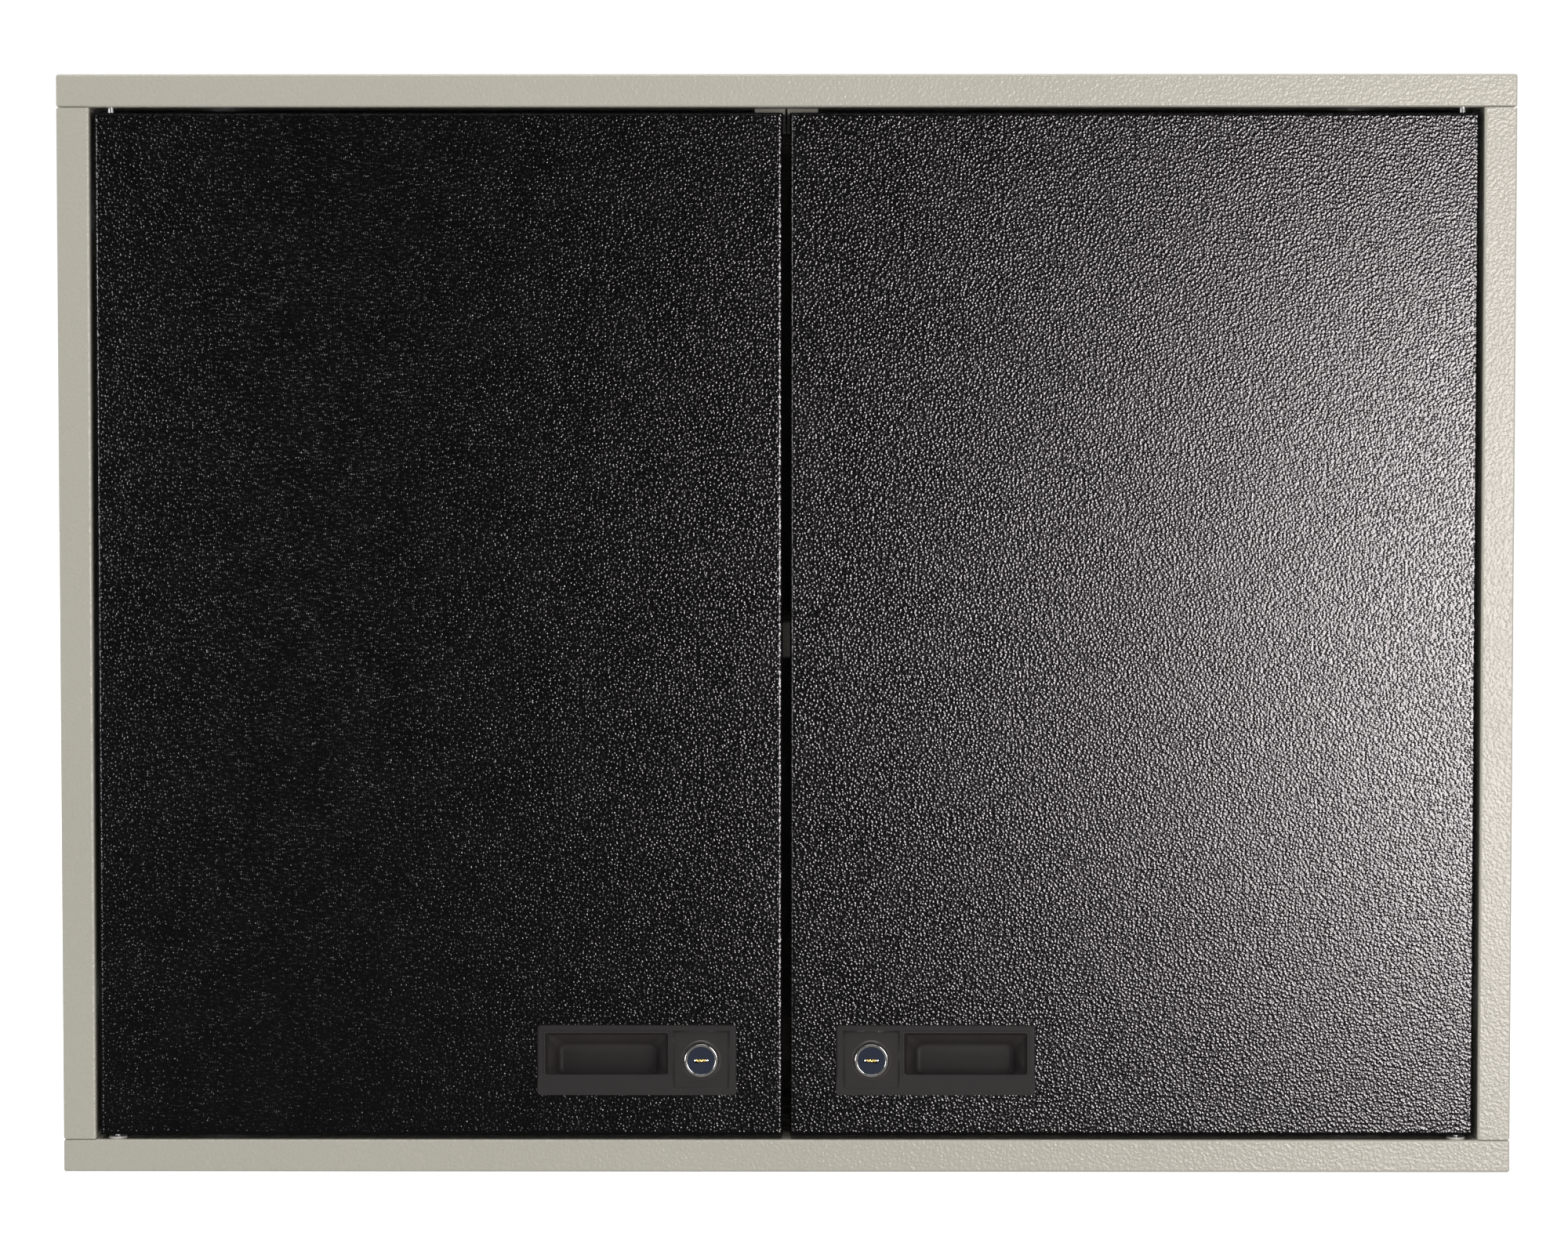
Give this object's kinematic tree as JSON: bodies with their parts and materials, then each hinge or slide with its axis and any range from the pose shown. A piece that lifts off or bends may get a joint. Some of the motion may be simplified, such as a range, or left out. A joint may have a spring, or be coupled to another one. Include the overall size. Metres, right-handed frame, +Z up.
{
  "type": "wall cabinet",
  "caption": "Folded-sheet wall cabinet with pivot-hung doors inside a frame, a shelf, recessed pull handles with cam locks, sprung pivot pins and magnetic catches.",
  "frame": {"origin": "centre of the four wall holes, on the wall face of the back panel", "axes": "+X to the right seen from the front, +Y from the front into the wall, +Z up"},
  "size_m": [0.8, 0.3038, 0.605],
  "materials": {
    "frame_coat": "light warm grey powder coat with a fine orange-peel texture",
    "door_coat": "black powder coat with a pebbled texture, half gloss",
    "handle_plastic": "dark grey moulded plastic, fine matt grain",
    "lock_chrome": "bright chrome plating",
    "zinc_steel": "zinc-plated steel",
    "pin_steel": "bright drawn steel",
    "spring_steel": "oiled spring wire",
    "bush_nylon": "natural nylon",
    "catch_plastic": "light grey moulded plastic",
    "magnet": "sintered ferrite"
  },
  "bodies": {
    "cabinet": {"top_tray": "frame_coat", "bottom_tray": "frame_coat", "back_panel": "frame_coat", "shelf_uprights": "frame_coat", "shelf": "frame_coat", "shelf_clips": "zinc_steel", "corner_screws": "zinc_steel", "corner_nuts": "zinc_steel", "upper_pivot_bushes": "bush_nylon", "lower_pivot_bushes": "bush_nylon", "catch_screws": "zinc_steel", "left_side_panel": "frame_coat", "right_side_panel": "frame_coat", "left_catch_body": "catch_plastic", "right_catch_body": "catch_plastic", "left_catch_magnet": "magnet", "right_catch_magnet": "magnet"},
    "left_door": {"left_door_skin": "door_coat", "left_door_stiffener": "door_coat", "left_handle": "handle_plastic", "left_lock_housing": "lock_chrome", "left_lock_nut": "zinc_steel", "left_lower_pivot_pin": "pin_steel", "left_upper_pin_bracket": "door_coat", "left_lower_pin_bracket": "door_coat", "left_pin_spring": "spring_steel"},
    "left_lock": {"left_lock_plug": "lock_chrome", "left_lock_cam": "zinc_steel", "left_cam_screw": "zinc_steel"},
    "left_upper_pin": {"left_upper_pivot_pin": "pin_steel"},
    "right_door": {"right_door_skin": "door_coat", "right_door_stiffener": "door_coat", "right_handle": "handle_plastic", "right_lock_housing": "lock_chrome", "right_lock_nut": "zinc_steel", "right_lower_pivot_pin": "pin_steel", "right_upper_pin_bracket": "door_coat", "right_lower_pin_bracket": "door_coat", "right_pin_spring": "spring_steel"},
    "right_lock": {"right_lock_plug": "lock_chrome", "right_lock_cam": "zinc_steel", "right_cam_screw": "zinc_steel"},
    "right_upper_pin": {"right_upper_pivot_pin": "pin_steel"}
  },
  "joints": [
    {"name": "left_door_hinge", "type": "hinge", "parent": "cabinet", "child": "left_door", "pos_m": [-0.371, -0.2925, 0], "axis": [0, 0, -1], "range_deg": [0, 108]},
    {"name": "left_lock_turn", "type": "hinge", "parent": "left_door", "child": "left_lock", "pos_m": [-0.047, -0.27, -0.24], "axis": [0, -1, 0], "range_deg": [0, 90]},
    {"name": "left_pin_slide", "type": "slide", "parent": "left_door", "child": "left_upper_pin", "axis": [0, 0, -1], "range_m": [0, 0.0095], "stiffness_N_per_m": 350, "springref_m": -0.006, "deforming": ["left_pin_spring"]},
    {"name": "right_door_hinge", "type": "hinge", "parent": "cabinet", "child": "right_door", "pos_m": [0.371, -0.2925, 0], "axis": [0, 0, 1], "range_deg": [0, 108]},
    {"name": "right_lock_turn", "type": "hinge", "parent": "right_door", "child": "right_lock", "pos_m": [0.047, -0.27, -0.24], "axis": [0, 1, 0], "range_deg": [0, 90]},
    {"name": "right_pin_slide", "type": "slide", "parent": "right_door", "child": "right_upper_pin", "axis": [0, 0, -1], "range_m": [0, 0.0095], "stiffness_N_per_m": 350, "springref_m": -0.006, "deforming": ["right_pin_spring"]}
  ]
}
